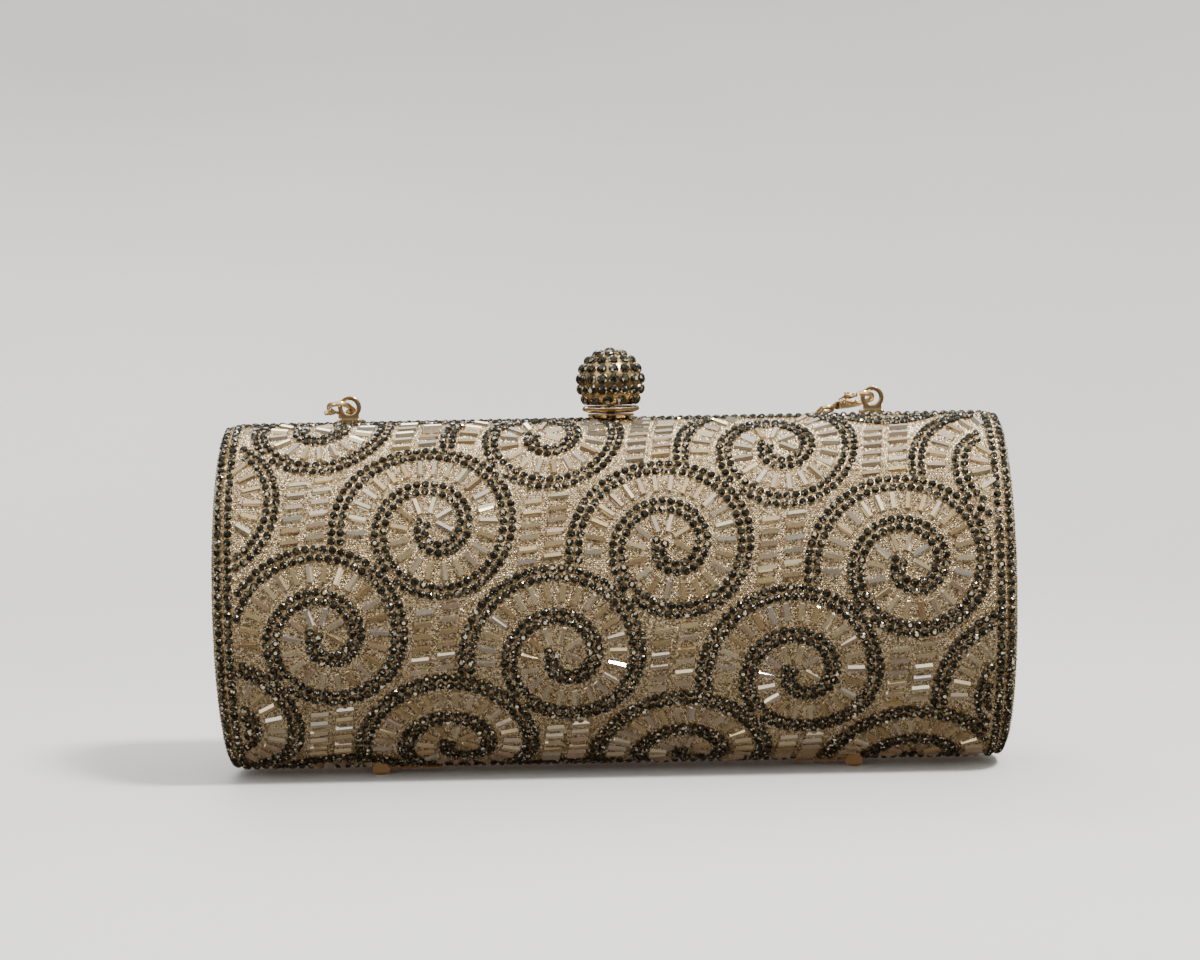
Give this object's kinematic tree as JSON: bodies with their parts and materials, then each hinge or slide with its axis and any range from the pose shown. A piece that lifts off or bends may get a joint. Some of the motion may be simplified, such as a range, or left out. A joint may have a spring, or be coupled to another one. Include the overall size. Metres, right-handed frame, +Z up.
{
  "type": "evening bag",
  "caption": "Barrel-shaped hard-shell evening clutch that opens like a clam, with swirl beadwork, a ball clasp on top and a clip-on chain strap.",
  "frame": {"origin": "on the surface that the bag stands on, under the middle of its closed body", "axes": "+X along the barrel to the right seen from the front, -Y out of the front half, +Z up to the ball clasp"},
  "size_m": [0.2046, 0.1267, 0.1103],
  "materials": {
    "beadwork": "champagne cloth set with faceted stones, bugle beads and fine glitter",
    "glitter": "champagne glitter cloth",
    "shell": "plain moulded liner shell",
    "satin": "champagne satin",
    "gold": "polished pale gold plating",
    "steel": "plain steel"
  },
  "bodies": {
    "back_half": {"back_wrap": "beadwork", "back_end_panel_left": "glitter", "back_end_panel_right": "glitter", "back_shell": "shell", "back_lining": "satin", "back_frame": "gold", "back_foot_left": "gold", "back_foot_right": "gold", "hinge_left_back_leaf": "gold", "hinge_right_back_leaf": "gold", "hinge_left_pin": "steel", "hinge_right_pin": "steel", "clasp_base": "gold", "catch_bracket": "gold", "catch_pivot_pin": "steel", "catch_spring": "steel", "strap_eye_left": "gold", "strap_eye_right": "gold", "clasp_left_body": "gold", "clasp_left_pin": "steel", "clasp_left_swivel": "gold", "clasp_right_body": "gold", "clasp_right_pin": "steel", "clasp_right_swivel": "gold", "strap_chain_left": "gold", "strap_chain_right": "gold", "strap_coil": "gold"},
    "front_half": {"front_wrap": "beadwork", "front_end_panel_left": "glitter", "front_end_panel_right": "glitter", "front_shell": "shell", "front_lining": "satin", "front_frame": "gold", "front_foot_left": "gold", "front_foot_right": "gold", "hinge_left_front_leaf": "gold", "hinge_right_front_leaf": "gold", "catch_keeper": "gold"},
    "catch_knob": {"catch_lever": "gold", "knob_stud": "steel", "knob_collar": "gold", "knob_ball": "gold"},
    "trigger_left": {"clasp_left_trigger": "gold"},
    "trigger_right": {"clasp_right_trigger": "gold"}
  },
  "joints": [
    {"name": "front_hinge", "type": "hinge", "parent": "back_half", "child": "front_half", "pos_m": [0, 0, 0.00165], "axis": [1, 0, 0], "range_deg": [0, 75]},
    {"name": "ball_catch", "type": "hinge", "parent": "back_half", "child": "catch_knob", "pos_m": [0, 0.005, 0.085], "axis": [-1, 0, 0], "range_deg": [0, 9], "stiffness_Nm_per_rad": 0.3},
    {"name": "left_trigger", "type": "hinge", "parent": "back_half", "child": "trigger_left", "pos_m": [-0.07132, 0.00619, 0.09393], "axis": [0, 0.4067, 0.9135], "range_deg": [0, 12], "stiffness_Nm_per_rad": 0.02},
    {"name": "right_trigger", "type": "hinge", "parent": "back_half", "child": "trigger_right", "pos_m": [0.06142, 0.00306, 0.09532], "axis": [0, 0.4067, 0.9135], "range_deg": [0, 12], "stiffness_Nm_per_rad": 0.02}
  ]
}
